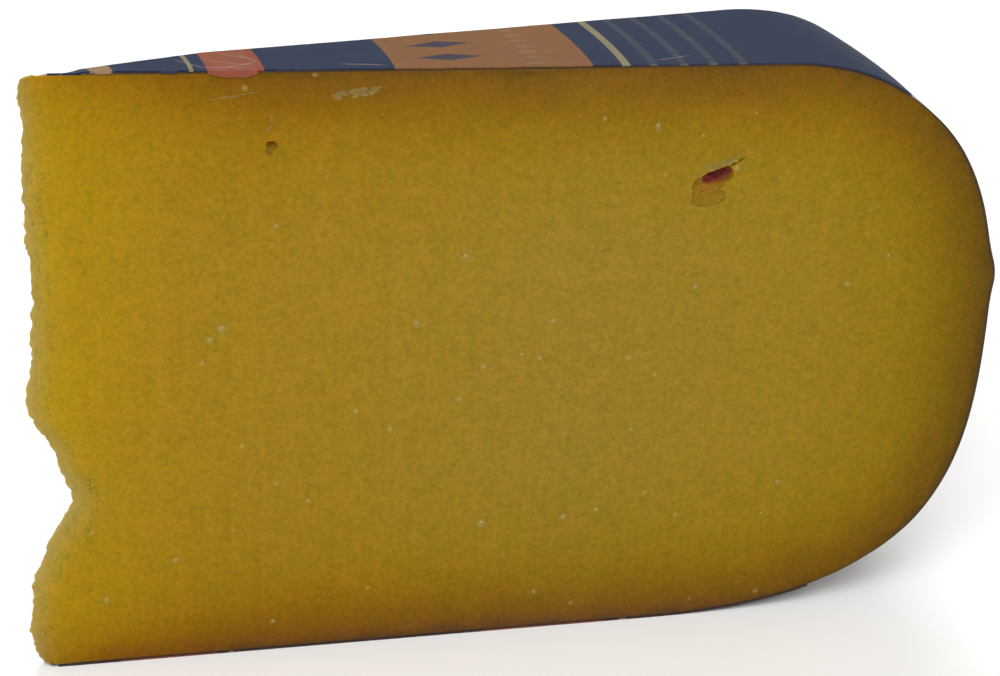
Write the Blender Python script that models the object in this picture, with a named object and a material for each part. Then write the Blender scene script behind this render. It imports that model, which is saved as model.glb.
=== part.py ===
"""A wedge cut from an aged wheel cheese, its tip broken off and its paper labels still on.

One upright section of the wheel is drawn as (radius, height) points. The cheese is that
section, and each label is a strip that follows it, spun round the wheel's axis through
the wedge's angle. The broken end is then shaped on the spun piece.

Frame: the wedge stands on its base. The broken tip points to -X and the rounded rind to
+X, the two cut faces look to -Y and +Y, and the origin is under the middle of the piece.
"""

import math

import bmesh
import bpy
from mathutils import Matrix, Vector, noise
from mathutils.geometry import interpolate_bezier

MM = 0.001

# The whole wheel that the wedge was cut from.
WHEEL_RADIUS = 180.1 * MM
WEDGE_ANGLE = math.radians(11.5)
SPIN_STEPS = 8

# Its section: a flat base, a bulging side, a soft shoulder and a slightly domed top.
LABEL_GAP = 0.3 * MM
LABEL_THICKNESS = 0.4 * MM
BASE_HEIGHT = LABEL_GAP + LABEL_THICKNESS
BASE_REACH = 122.0 * MM
BASE_FULLNESS = 57.0 * MM
LOWER_SIDE_FULLNESS = 24.0 * MM
WIDEST_HEIGHT = 55.0 * MM
UPPER_SIDE_FULLNESS = 36.0 * MM
SHOULDER_FULLNESS = 23.0 * MM
SHOULDER_REACH = 138.0 * MM
SHOULDER_HEIGHT = 106.8 * MM
TOP_SLOPE = 0.020
CURVE_POINTS = 32
SIDE_POINTS = 40

# A low ridge runs round the side, where the two halves of the mould met.
RIDGE_HEIGHT = 66.5 * MM
RIDGE_RISE = 0.9 * MM
RIDGE_SPREAD = 3.5 * MM

# How far from the axis each label reaches, and how far it is torn back at the broken end.
TOP_LABEL_REACH = 160.5 * MM
TOP_LABEL_TEAR = 3.5 * MM
BASE_LABEL_REACH = 152.0 * MM
BASE_LABEL_TEAR = 0.8 * MM

# The broken end: at each height, the radius left on the far face and on the near face.
BREAK_OUTLINE = [
    (0.0 * MM, 12.0 * MM, 12.5 * MM),
    (3.0 * MM, 10.4 * MM, 13.0 * MM),
    (8.0 * MM, 9.9 * MM, 13.0 * MM),
    (16.0 * MM, 10.6 * MM, 13.5 * MM),
    (23.0 * MM, 13.2 * MM, 16.5 * MM),
    (30.0 * MM, 16.8 * MM, 21.0 * MM),
    (32.0 * MM, 18.2 * MM, 22.0 * MM),
    (34.5 * MM, 17.2 * MM, 21.0 * MM),
    (38.5 * MM, 15.2 * MM, 18.5 * MM),
    (42.5 * MM, 14.8 * MM, 17.5 * MM),
    (46.5 * MM, 12.2 * MM, 15.0 * MM),
    (50.5 * MM, 10.4 * MM, 13.5 * MM),
    (60.0 * MM, 11.9 * MM, 14.5 * MM),
    (75.0 * MM, 12.0 * MM, 14.5 * MM),
    (87.0 * MM, 11.3 * MM, 13.5 * MM),
    (96.0 * MM, 11.7 * MM, 13.8 * MM),
    (104.0 * MM, 11.6 * MM, 13.5 * MM),
    (107.0 * MM, 11.0 * MM, 13.0 * MM),
    (110.0 * MM, 11.4 * MM, 13.2 * MM),
]
BREAK_ROW_HEIGHT = 2.5 * MM
BREAK_ROUGHNESS = 0.5 * MM
BREAK_GRAIN = 5.0 * MM
BREAK_START = 10.0 * MM     # where a section is drawn up to, before the end is shaped
BREAK_ZONE = 30.0 * MM      # every point nearer the axis than this lies on the broken end

# Near the broken end the top sinks towards the far face.
SAG_REACH = 42.0 * MM
SAG_SLOPE = 0.056

# The one large eye, torn open on the near face.
EYE_RADIUS_FROM_AXIS = 126.3 * MM
EYE_HEIGHT = 86.0 * MM
EYE_SIZE = Vector((4.0, 3.4, 2.9)) * MM
EYE_TILT = math.radians(-35.0)
EYE_LUMPS = 0.22


def material(name, colour, roughness):
    """A plain Principled material."""
    made = bpy.data.materials.new(name)
    made.use_nodes = True
    shader = made.node_tree.nodes["Principled BSDF"]
    shader.inputs["Base Color"].default_value = (*colour, 1.0)
    shader.inputs["Roughness"].default_value = roughness
    shader.inputs["Metallic"].default_value = 0.0
    return made


def collection(name):
    """A new collection in the scene."""
    made = bpy.data.collections.new(name)
    bpy.context.scene.collection.children.link(made)
    return made


def base_line():
    """Section points from the start of the base's curve out to the widest point."""
    start = Vector((BASE_REACH, BASE_HEIGHT))
    end = Vector((WHEEL_RADIUS, WIDEST_HEIGHT))
    leave = start + Vector((BASE_FULLNESS, 0.0))
    arrive = end - Vector((0.0, LOWER_SIDE_FULLNESS))
    return interpolate_bezier(start, leave, arrive, end, CURVE_POINTS)


def top_line():
    """Section points from the widest point up to the start of the shoulder's curve."""
    start = Vector((WHEEL_RADIUS, WIDEST_HEIGHT))
    end = Vector((SHOULDER_REACH, SHOULDER_HEIGHT))
    leave = start + Vector((0.0, UPPER_SIDE_FULLNESS))
    arrive = end + Vector((SHOULDER_FULLNESS, -SHOULDER_FULLNESS * TOP_SLOPE))
    line = interpolate_bezier(start, leave, arrive, end, SIDE_POINTS)
    for point in line:
        point.x += RIDGE_RISE * math.exp(-(((point.y - RIDGE_HEIGHT) / RIDGE_SPREAD) ** 2))
    return line


def top_height(radius):
    """Height of the straight part of the top at a distance from the axis."""
    return SHOULDER_HEIGHT + (SHOULDER_REACH - radius) * TOP_SLOPE


def sag(radius, across):
    """How far the top has sunk; across runs from 0 on the near face to 1 on the far."""
    return across * SAG_SLOPE * max(0.0, SAG_REACH - radius)


def broken_radius(height, across):
    """Radius left at the broken end, at a height and at a share of the way across."""
    far, near = BREAK_OUTLINE[-1][1:]
    for (low, *low_radii), (high, *high_radii) in zip(BREAK_OUTLINE, BREAK_OUTLINE[1:]):
        if height <= high:
            share = max(0.0, (height - low) / (high - low))
            far, near = [a + (b - a) * share for a, b in zip(low_radii, high_radii)]
            break
    grain = noise.noise(Vector((height / BREAK_GRAIN, across, 3.0)))
    return near + (far - near) * across + BREAK_ROUGHNESS * grain


def top_start():
    """The straight part of the top: its broken end, and the point where the sag begins."""
    return [Vector((radius, top_height(radius))) for radius in (BREAK_START, SAG_REACH)]


def cheese_section():
    """The whole section of the cheese, anticlockwise from the start of the base's curve."""
    top = list(reversed(top_start()))
    drop = top[-1].y - BASE_HEIGHT
    rows = round(drop / BREAK_ROW_HEIGHT)
    heights = [top[-1].y - drop * (row + 1) / rows for row in range(rows)]
    return base_line() + top_line()[1:] + top + [Vector((BREAK_START, z)) for z in heights]


def cut_at_reach(line, reach):
    """The part of a line nearer the axis than reach, with its last point exactly there."""
    kept = []
    for point, following in zip(line, line[1:]):
        if point.x > reach:
            break
        kept.append(point)
        if following.x > reach:
            share = (reach - point.x) / (following.x - point.x)
            kept.append(point.lerp(following, share))
    return kept


def offset(line, distance):
    """The line moved sideways, to the right of its direction of travel."""
    moved = []
    for index, point in enumerate(line):
        before = line[max(index - 1, 0)]
        after = line[min(index + 1, len(line) - 1)]
        along = (after - before).normalized()
        moved.append(point + Vector((along.y, -along.x)) * distance)
    return moved


def label_section(line):
    """A thin strip on the outside of a line that runs away from the axis."""
    outward = 1.0 if line[0].y < WIDEST_HEIGHT else -1.0
    inner = offset(line, outward * LABEL_GAP)
    outer = offset(line, outward * (LABEL_GAP + LABEL_THICKNESS))
    return inner + list(reversed(outer))


def top_label_section():
    """The top label: from the broken end across the top and down over the shoulder."""
    line = top_start() + list(reversed(top_line()))
    return label_section(cut_at_reach(line, TOP_LABEL_REACH))


def base_label_section():
    """The base label: from the broken end across the base to where the base curves up."""
    line = [Vector((BREAK_START, BASE_HEIGHT))] + base_line()
    return label_section(cut_at_reach(line, BASE_LABEL_REACH))


def shape_broken_end(shape, tear):
    """Move the points at the axis end to the break, torn back further by tear."""
    for corner in shape.verts:
        flat = corner.co.xy
        if flat.length > BREAK_ZONE:
            continue
        across = math.atan2(flat.y, flat.x) / WEDGE_ANGLE + 0.5
        radius = broken_radius(corner.co.z, across) + tear
        share = min(1.0, max(0.0, 2.0 * corner.co.z / top_height(radius) - 1.0))
        corner.co.xy = flat.normalized() * radius
        corner.co.z -= sag(radius, across) * share


def spun(name, section, tear, look, axis):
    """Spin a section through the wedge's angle and shape its broken end."""
    shape = bmesh.new()
    corners = [shape.verts.new((point.x, 0.0, point.y)) for point in section]
    shape.faces.new(corners)
    turn = Matrix.Rotation(-WEDGE_ANGLE / 2, 4, "Z")
    bmesh.ops.transform(shape, matrix=turn, verts=shape.verts)
    bmesh.ops.spin(
        shape, geom=[*shape.verts, *shape.edges, *shape.faces], cent=(0.0, 0.0, 0.0),
        axis=(0.0, 0.0, 1.0), angle=WEDGE_ANGLE, steps=SPIN_STEPS, use_duplicate=False,
    )
    shape_broken_end(shape, tear)
    bmesh.ops.recalc_face_normals(shape, faces=shape.faces)
    mesh = bpy.data.meshes.new(name)
    shape.to_mesh(mesh)
    shape.free()
    mesh.materials.append(look)
    mesh.shade_smooth()
    mesh.set_sharp_from_angle(angle=math.radians(30))
    made = bpy.data.objects.new(name, mesh)
    made.parent = axis
    axis.users_collection[0].objects.link(made)
    return made


def eye_cutter(axis, group):
    """A lumpy ball set into the near face, which leaves the open eye."""
    shape = bmesh.new()
    bmesh.ops.create_icosphere(shape, subdivisions=3, radius=1.0)
    for corner in shape.verts:
        corner.co *= 1.0 + EYE_LUMPS * noise.noise(corner.co * 1.4)
        corner.co *= EYE_SIZE
    mesh = bpy.data.meshes.new("eye_cutter")
    shape.to_mesh(mesh)
    shape.free()
    cutter = bpy.data.objects.new("eye_cutter", mesh)
    turn = Matrix.Rotation(-WEDGE_ANGLE / 2, 4, "Z")
    place = Matrix.Translation((EYE_RADIUS_FROM_AXIS, 0.0, EYE_HEIGHT))
    cutter.parent = axis
    cutter.matrix_local = turn @ place @ Matrix.Rotation(EYE_TILT, 4, "Y")
    cutter.hide_render = True
    cutter.display_type = "WIRE"
    group.objects.link(cutter)
    return cutter


def centre(axis, piece):
    """Slide everything along X so that the origin is under the middle of a piece."""
    reach = [corner.co.x for corner in piece.data.vertices]
    axis.location.x = -(min(reach) + max(reach)) / 2


def build():
    """Make the cheese with its eye, and the two labels."""
    for old in list(bpy.data.objects):
        bpy.data.objects.remove(old)
    pieces = collection("cheese_wedge")
    cutters = collection("cutters")
    axis = bpy.data.objects.new("wheel_axis", None)
    pieces.objects.link(axis)
    paste = material("cheese", (0.48, 0.31, 0.05), 0.45)
    top_print = material("label_top", (0.03, 0.05, 0.12), 0.4)
    base_print = material("label_base", (0.03, 0.04, 0.09), 0.4)
    cheese = spun("cheese", cheese_section(), 0.0, paste, axis)
    spun("label_top", top_label_section(), TOP_LABEL_TEAR, top_print, axis)
    spun("label_base", base_label_section(), BASE_LABEL_TEAR, base_print, axis)
    eye = cheese.modifiers.new("eye", "BOOLEAN")
    eye.object = eye_cutter(axis, cutters)
    eye.operation = "DIFFERENCE"
    eye.solver = "EXACT"
    centre(axis, cheese)


build()
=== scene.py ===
# %% [markdown]
# # A wedge of aged cheese
# A big wheel of hard cheese was cut like a cake, and the thin end of this wedge has snapped
# off. It stands on its base. Paper labels still cover its top and its base, and between the
# paper and the cheese lies the thin coat that the dairy paints on the rind.
#
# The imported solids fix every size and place. This script gives them their looks, one piece
# at a time, and each piece is shaped round the solid that it stands for.

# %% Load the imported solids
import math
import random

import bpy
import numpy as np
from mathutils import Matrix, Vector


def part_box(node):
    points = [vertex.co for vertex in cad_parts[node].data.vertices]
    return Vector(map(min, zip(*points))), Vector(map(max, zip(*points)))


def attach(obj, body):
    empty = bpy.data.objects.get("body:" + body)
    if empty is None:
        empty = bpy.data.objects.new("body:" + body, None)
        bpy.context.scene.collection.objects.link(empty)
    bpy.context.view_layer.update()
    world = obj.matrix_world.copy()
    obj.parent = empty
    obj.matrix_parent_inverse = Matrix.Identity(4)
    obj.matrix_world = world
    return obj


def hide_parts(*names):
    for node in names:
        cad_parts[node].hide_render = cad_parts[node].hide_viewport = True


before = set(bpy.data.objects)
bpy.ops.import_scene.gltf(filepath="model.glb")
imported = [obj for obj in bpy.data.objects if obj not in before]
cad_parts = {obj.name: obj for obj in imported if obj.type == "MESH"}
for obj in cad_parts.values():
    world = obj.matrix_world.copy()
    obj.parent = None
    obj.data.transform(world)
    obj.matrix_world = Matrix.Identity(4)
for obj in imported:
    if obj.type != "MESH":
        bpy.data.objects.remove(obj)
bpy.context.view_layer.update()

MM = 0.001

# %% [markdown]
# ## Where the wheel's axis was
# Rind, labels and cut faces are all arranged round the axis of the wheel. The wedge's angle is
# known, so half its greatest width gives the wheel's radius, and the radius gives the axis.
# From then on a point is easier to describe by its distance from the axis, its height, and how
# far across the wedge it lies, from 0 on the near cut face to 1 on the far one.

# %% Find the axis and set up polar places
WEDGE_ANGLE = math.radians(11.5)
cheese_low, cheese_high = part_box("cheese")
RIM_RADIUS = cheese_high.y / math.sin(WEDGE_ANGLE / 2)
AXIS_X = cheese_high.x - RIM_RADIUS


def polar(points):
    """Distance from the axis, share of the way across, and height of each point."""
    along_x = points[:, 0] - AXIS_X
    radius = np.hypot(along_x, points[:, 1])
    across = np.arctan2(points[:, 1], along_x) / WEDGE_ANGLE + 0.5
    return radius, across, points[:, 2]


def placed(radius, across, height):
    """The points at these distances from the axis, shares across and heights."""
    angle = (np.asarray(across) - 0.5) * WEDGE_ANGLE
    parts = AXIS_X + radius * np.cos(angle), radius * np.sin(angle), height
    return np.stack(np.broadcast_arrays(*parts), axis=-1)


print(f"wheel radius {RIM_RADIUS / MM:.1f} mm, axis at x = {AXIS_X / MM:.1f} mm")

# %% [markdown]
# ## Read the outline of the cut
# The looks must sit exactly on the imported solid, so its outline is measured and not typed in
# again. Every corner of the solid that lies on a cut face is part of that face's outline.
# Corners close to the axis belong to the broken end, and the rest belong to the rind.
#
# Near the broken end the top has also sunk a little towards the far face. The sinking is taken
# out of the measured heights first, and is put back on every piece once it has its shape.

# %% Measure the rind and the broken end
TIP_ZONE = 30 * MM
SAG_REACH = 42 * MM
SAG_SLOPE = 0.056


def points_of(piece):
    """The positions of a piece's vertices, one row each."""
    flat = np.empty(len(piece.data.vertices) * 3, dtype=np.float32)
    piece.data.vertices.foreach_get("co", flat)
    return flat.reshape(-1, 3).astype(float)


def move_points(piece, points):
    """Give a piece's vertices these positions."""
    piece.data.vertices.foreach_set("co", points.astype(np.float32).ravel())
    piece.data.update()


def sinking(radius, across, height):
    """How far the top has sunk at these places; nothing below half its height sinks."""
    share = np.clip(2 * height / cheese_high.z - 1, 0, 1)
    return across * SAG_SLOPE * np.maximum(0, SAG_REACH - radius) * share


corners = np.unique(np.round(points_of(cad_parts["cheese"]), 7), axis=0)
radius, across, height = polar(corners)
height = height + sinking(radius, across, height)


def broken_edge(on_face):
    """(height, radius) along the broken edge of one cut face, from the base up."""
    picked = np.flatnonzero(on_face & (radius < TIP_ZONE))
    picked = picked[np.argsort(height[picked])]
    return height[picked], radius[picked]


near_edge = broken_edge(across < 0.001)
far_edge = broken_edge(across > 0.999)
picked = np.flatnonzero((across > 0.999) & (radius > TIP_ZONE))
turn = np.arctan2(height[picked] - 55 * MM, radius[picked] - 95 * MM)
picked = picked[np.argsort(turn)]
rind_line = np.stack([radius[picked], height[picked]], axis=-1)
near_line = np.vstack([
    [near_edge[1][0], near_edge[0][0]],
    rind_line,
    [near_edge[1][-1], near_edge[0][-1]],
])
print(len(rind_line), "rind points,", len(near_edge[0]), "points on the near broken edge")

# %% [markdown]
# Everything that lies on the cheese, such as the coat and the labels, is drawn on the near
# face's section and spun straight across. One rule then carries it to where it belongs: it
# draws in the broken end and sinks the top, so nothing floats or cuts through.

# %% The rule of the broken end, and lengths along the outline
def break_radius(height, across):
    """Distance from the axis at which the cheese is broken off."""
    near = np.interp(height, *near_edge)
    far = np.interp(height, *far_edge)
    return near + (far - near) * across


def settle(piece):
    """Carry a spun piece's points to the real broken end and the sunken top."""
    radius, across, height = polar(points_of(piece))
    near = np.interp(height, *near_edge)
    close = np.clip((TIP_ZONE - radius) / (TIP_ZONE - near), 0, 1)
    radius = radius + (break_radius(height, across) - near) * close
    height = height - sinking(radius, across, height)
    move_points(piece, placed(radius, across, height))


def along(line, share):
    """Points at shares of a line's length; a line is rows of (radius, height)."""
    reach = np.concatenate([[0], np.cumsum(np.hypot(*np.diff(line, axis=0).T))])
    want = np.asarray(share) * reach[-1]
    return np.stack([np.interp(want, reach, line[:, axis]) for axis in (0, 1)], axis=-1)


def length_of(line):
    """The length of a line of (radius, height) rows."""
    return np.hypot(*np.diff(line, axis=0).T).sum()


print(f"the near face's rind is {length_of(near_line) / MM:.0f} mm long")

# %% [markdown]
# ## The body of the cheese
# The cut face is smooth to the eye, but it catches light with faint waves, and towards the
# broken end it turns crumbly. A box of a few faces can't do that, so the body is a fine grid:
# a grid primitive is laid onto the section between its four sides, the base, the rim, the top
# and the break, and then spun round the axis through the wedge's angle. The grid is finest at
# the break, where the relief is.

# %% Select and finish helpers
def only(piece):
    """Deselect everything else, then select this piece and make it active."""
    bpy.ops.object.select_all(action="DESELECT")
    piece.select_set(True)
    bpy.context.view_layer.objects.active = piece
    return piece


def finish_with(piece, kind, **settings):
    """Add one modifier with these settings and apply it."""
    only(piece)
    step = piece.modifiers.new(kind.lower(), kind)
    for name, value in settings.items():
        setattr(step, name, value)
    bpy.ops.object.modifier_apply(modifier=step.name)


def face_count(piece):
    """How many triangles a piece has."""
    return sum(len(face.vertices) - 2 for face in piece.data.polygons)


# %% Lay a grid onto the near face
LOWER_TURN = 16 * MM
UPPER_TURN = 90 * MM
FINE_COLUMNS, MIDDLE_COLUMNS, RIM_COLUMNS = 32, 58, 14
ROWS = 196

widths = np.repeat([0.5, 2.2, 1.0], [FINE_COLUMNS, MIDDLE_COLUMNS, RIM_COLUMNS])
column_share = np.concatenate([[0], np.cumsum(widths)]) / widths.sum()
row_share = np.linspace(0, 1, ROWS + 1)
outer = near_line[:, 0] > 100 * MM
lower = np.flatnonzero(outer & (near_line[:, 1] > LOWER_TURN))[0]
upper = np.flatnonzero(outer & (near_line[:, 1] > UPPER_TURN))[0]
base_side = along(near_line[:lower + 1], column_share)
rim_side = along(near_line[lower:upper + 1], row_share)
top_side = along(near_line[upper:][::-1], column_share)
break_heights = near_edge[0][0] + row_share * (near_edge[0][-1] - near_edge[0][0])
break_side = np.stack([np.interp(break_heights, *near_edge), break_heights], axis=-1)

bpy.ops.object.select_all(action="DESELECT")
bpy.ops.mesh.primitive_grid_add(x_subdivisions=len(widths), y_subdivisions=ROWS, size=1)
cheese = bpy.context.object
cheese.name = "cheese_body"
flat = points_of(cheese)
column = np.unique(np.round(flat[:, 0], 5), return_inverse=True)[1]
row = np.unique(np.round(flat[:, 1], 5), return_inverse=True)[1]
u = column_share[column][:, None]
v = row_share[row][:, None]
section = (1 - v) * base_side[column] + v * top_side[column]
section += (1 - u) * break_side[row] + u * rim_side[row]
section -= (1 - u) * (1 - v) * base_side[0] + u * (1 - v) * base_side[-1]
section -= (1 - u) * v * top_side[0] + u * v * top_side[-1]
move_points(cheese, placed(section[:, 0], 0.0, section[:, 1]))
print("section grid:", len(widths), "columns,", ROWS, "rows")

# %% Spin it through the wedge's angle
SPIN_STEPS = 24
only(cheese)
bpy.ops.object.mode_set(mode="EDIT")
bpy.ops.mesh.select_all(action="SELECT")
bpy.ops.mesh.spin(
    steps=SPIN_STEPS, angle=-WEDGE_ANGLE, center=(AXIS_X, 0, 0), axis=(0, 0, 1),
)
bpy.ops.mesh.select_all(action="SELECT")
bpy.ops.mesh.remove_doubles(threshold=0.00001)
bpy.ops.mesh.normals_make_consistent(inside=False)
bpy.ops.object.mode_set(mode="OBJECT")
radius, across, height = polar(points_of(cheese))
print(f"spun from {across.min():.2f} to {across.max():.2f}, {face_count(cheese)} triangles")

# %% [markdown]
# The near face's outline was spun right across, so the rule of the broken end now gives the
# body its real end. After that come two kinds of relief. Old cheese crumbles where it breaks,
# so the end gets lumps, grains and fine crumbs, each from its own noise. The cut faces only
# get long shallow waves, as a wire or knife leaves them, and these fade out near the rind so
# that the coat and the labels still lie flat on it. The two upright edges of the broken end are
# rounded first, because crumbly cheese never keeps a sharp edge.
#
# A vertex group says how strongly each relief works at each point.

# %% Depths that the relief and the colours follow
def depth_below_rind(radius, height):
    """Distance in the section from each place to the rind."""
    best = np.full(len(radius), np.inf)
    for start, end in zip(near_line[:-1], near_line[1:]):
        step = end - start
        share = ((radius - start[0]) * step[0] + (height - start[1]) * step[1]) / (step @ step)
        share = np.clip(share, 0, 1)
        away = np.hypot(radius - start[0] - share * step[0], height - start[1] - share * step[1])
        best = np.minimum(best, away)
    return best


def weigh(piece, name, weights):
    """A vertex group that holds these weights."""
    group = piece.vertex_groups.new(name=name)
    for index in np.flatnonzero(weights > 0.002):
        group.add([int(index)], float(weights[index]), "REPLACE")


ROUNDING = 1.7 * MM


def round_break(piece):
    """Round the two upright edges between the cut faces and the broken end."""
    radius, across, height = polar(points_of(piece))
    edge = break_radius(height + sinking(radius, across, height), across)
    back = radius - edge
    width = radius * WEDGE_ANGLE
    side = np.minimum(across, 1 - across) * width
    reach = np.minimum(ROUNDING, 0.45 * width)
    turn = (1 + np.clip((back - side) / reach, -1, 1)) * math.pi / 4
    bent = np.maximum(back, side) < reach
    back = np.where(bent, reach * (1 - np.cos(turn)), back)
    share = np.where(bent, reach * (1 - np.sin(turn)), side) / width
    across = np.where(across < 0.5, share, 1 - share)
    move_points(piece, placed(edge + back, across, height))


settle(cheese)
round_break(cheese)
radius, across, height = polar(points_of(cheese))
tip_depth = radius - break_radius(height + sinking(radius, across, height), across)
rind_depth = depth_below_rind(radius, height)
weigh(cheese, "lumps", np.exp(-np.maximum(tip_depth, 0) / (2.5 * MM)))
weigh(cheese, "crumbs", np.exp(-np.maximum(tip_depth, 0) / (0.7 * MM)))
on_face = (np.abs(across - 0.5) > 0.499).astype(float)
weigh(cheese, "waves", on_face * np.clip((rind_depth - 2 * MM) / (10 * MM), 0, 1))
print(f"the deepest point lies {rind_depth.max() / MM:.0f} mm below the rind")


# %% Crumble the broken end and wave the cut faces
def relief(piece, name, kind, grain, strength, group="", direction="NORMAL", middle=0.5):
    """Move a piece's points by a noise; middle is the noise value that moves nothing."""
    texture = bpy.data.textures.new(name, kind)
    texture.noise_scale = grain
    finish_with(
        piece, "DISPLACE", texture=texture, texture_coords="LOCAL", strength=strength,
        mid_level=middle, direction=direction, vertex_group=group,
    )


relief(cheese, "lumps", "CLOUDS", 5 * MM, 1.2 * MM, "lumps", "X")
relief(cheese, "grains", "CLOUDS", 1.6 * MM, 1.0 * MM, "crumbs", "X")
relief(cheese, "crumbs", "VORONOI", 0.9 * MM, 0.45 * MM, "crumbs")
relief(cheese, "knife_waves", "CLOUDS", 24 * MM, 0.3 * MM, "waves")
print("broken end reaches x =", round(points_of(cheese)[:, 0].min() / MM, 2), "mm")

# %% [markdown]
# ## The eyes
# A hard cheese of this age has few holes. One large eye was torn open by the cut, so it has a
# deep part, a shallow lobe below it and a crack that runs up from it, and there is one tiny
# eye near the tip. Each is cut with a lumpy ball: a ball is added, stretched in edit mode,
# roughened with noise, and taken away with an exact Boolean. The ball's own material stays on
# the wall that it leaves, so painted shade can make the inside darker than the cut face.

# %% Lumpy balls laid on the near cut face
eye_wall_shade = bpy.data.materials.new("eye_wall_shade")
cheese_paste = bpy.data.materials.new("cheese_paste")
cheese.data.materials.append(cheese_paste)


def lumpy_ball(name, radius, height, size, lean=0.0, inside=0.0, lumps=0.25, detail=5):
    """A ball on the near face; size is its reach along the face, into it and up it, in mm."""
    bpy.ops.object.select_all(action="DESELECT")
    bpy.ops.mesh.primitive_ico_sphere_add(subdivisions=detail, radius=1.0)
    ball = bpy.context.object
    ball.name = name
    bpy.ops.object.mode_set(mode="EDIT")
    bpy.ops.transform.resize(value=[reach * MM for reach in size])
    bpy.ops.object.mode_set(mode="OBJECT")
    ball.location = placed(radius * MM, 0.0, height * MM)
    inwards = Vector((math.sin(WEDGE_ANGLE / 2), math.cos(WEDGE_ANGLE / 2), 0))
    ball.location += inwards * inside * MM
    ball.rotation_euler = (0, -math.radians(lean), -WEDGE_ANGLE / 2)
    bpy.ops.object.transform_apply(location=True, rotation=True, scale=True)
    smallest = min(size)
    relief(ball, name + "_lumps", "CLOUDS", 0.8 * smallest * MM, 2 * lumps * smallest * MM)
    relief(ball, name + "_grain", "CLOUDS", 0.5 * MM, min(0.12, smallest * 0.2) * MM)
    return ball


# %% Cut the eyes
eye_parts = [
    lumpy_ball("eye_deep", 127.4, 87.3, (2.8, 3.0, 1.6), lean=22, inside=0.3, lumps=0.3),
    lumpy_ball("eye_left", 125.7, 85.8, (3.0, 1.15, 2.1), lean=25, lumps=0.4),
    lumpy_ball("eye_lobe", 126.0, 83.4, (3.2, 0.7, 1.7), lean=4, lumps=0.4),
    lumpy_ball("eye_crack", 130.6, 89.8, (1.7, 0.5, 0.28), lean=32, lumps=0.3),
    lumpy_ball("small_eye", 51.2, 96.1, (1.05, 1.2, 0.85), lean=-20),
    lumpy_ball("small_eye_tail", 50.8, 95.1, (0.6, 0.6, 0.7), lean=10),
]
for part in eye_parts:
    part.data.materials.append(eye_wall_shade)
    finish_with(
        cheese, "BOOLEAN", operation="DIFFERENCE", solver="EXACT", object=part,
        material_mode="TRANSFER",
    )
    print(part.name, "cut:", face_count(cheese), "triangles")
    bpy.data.objects.remove(part)
print(len(eye_parts), "hollows cut,", face_count(cheese), "triangles")

# %% [markdown]
# The materials need to know three things about every point: how many millimetres below the rind
# it lies, how much it belongs to the broken end, most of all at its far edge, and whether it is
# a pale crystal. These are stored on the mesh as attributes, once its shape is final.

# %% Store what the cheese's colours follow
def note(piece, name, values):
    """Store one number per vertex for the materials to read."""
    layer = piece.data.attributes.new(name, "FLOAT", "POINT")
    layer.data.foreach_set("value", np.broadcast_to(values, len(layer.data)).astype(np.float32))


def note_depths(piece):
    """Store how deep each point lies below the rind, and how much it is part of the break."""
    radius, across, height = polar(points_of(piece))
    level = height + sinking(radius, across, height)
    behind = np.maximum(radius - break_radius(level, across), 0) / MM
    across = np.clip(across, 0, 1)
    note(piece, "rind_depth", depth_below_rind(radius, level) / MM)
    note(piece, "broken", np.exp(-behind / 1.4) * (0.12 + 0.88 * across ** 1.4))


def smooth(piece, degrees):
    """Shade smoothly, but keep edges sharper than this."""
    only(piece)
    bpy.ops.object.shade_smooth_by_angle(angle=math.radians(degrees))


def hand_over(piece, node=""):
    """Tie a finished piece to the frame, and hide the imported solid that it stands for."""
    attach(piece, "root")
    if node:
        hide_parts(node)
    print(f"{piece.name}: {face_count(piece)} triangles")


note_depths(cheese)
note(cheese, "crystal", 0.0)
smooth(cheese, 50)
hand_over(cheese, "cheese")

# %% [markdown]
# ## Crystals, smears and crumbs
# Aged cheese is dotted with small pale crystals, and the knife leaves soft smears and a torn
# lip above the large eye. The broken edge sheds crumbs. All of them are small lumps of the
# same stuff, so one lumpy grain is modelled with few faces, and every crystal, smear and crumb
# is a stretched and turned copy of it with its own mesh. Sunk into the surface, only its
# rounded top shows, and it is palest in the middle.

# %% Model the grain, once with few faces and once with more
def lumpy_grain(name, detail):
    """A ball of about one metre's reach with lumps, to be scaled down when it is copied."""
    bpy.ops.object.select_all(action="DESELECT")
    bpy.ops.mesh.primitive_ico_sphere_add(subdivisions=detail, radius=1.0)
    made = bpy.context.object
    made.name = name
    relief(made, name + "_shape", "CLOUDS", 0.9, 0.5)
    relief(made, name + "_skin", "CLOUDS", 0.35, 0.2)
    print(name, "has", face_count(made), "triangles")
    return made


grain = lumpy_grain("grain", 2)
smooth_grain = lumpy_grain("smooth_grain", 3)


# %% Lay copies of the grain on the cheese
def grain_on(source, inwards, size, pale, lean=0.0, turn=0.0, model=grain):
    """A copy of the grain, sunk into the cheese where a line inwards from source meets it.

    Size is the copy's reach along the face, into it and up it, in mm.
    """
    hit, where, normal, index = cheese.ray_cast(source - inwards * 8 * MM, inwards)
    copy = bpy.data.objects.new("grain_copy", model.data.copy())
    bpy.context.collection.objects.link(copy)
    middle = points_of(copy)[:, [0, 2]]
    note(copy, "crystal", pale * np.clip(1 - (middle ** 2).sum(1) / 1.2, 0, 1))
    copy.location = (where if hit else source) + inwards * 0.45 * size[1] * MM
    copy.scale = [reach * MM for reach in size]
    copy.rotation_euler = (turn, -math.radians(lean), math.atan2(-inwards.x, inwards.y))
    return copy


def grain_at(radius, height, size, pale, lean=0.0, face=0.0, model=grain):
    """A grain on a cut face, near (0) or far (1), at a radius and height in mm."""
    angle = (face - 0.5) * WEDGE_ANGLE
    inwards = Vector((-math.sin(angle), math.cos(angle), 0)) * (1 if face < 0.5 else -1)
    source = Vector(placed(radius * MM, face, height * MM))
    return grain_on(source, inwards, size, pale, lean, model=model)


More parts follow.
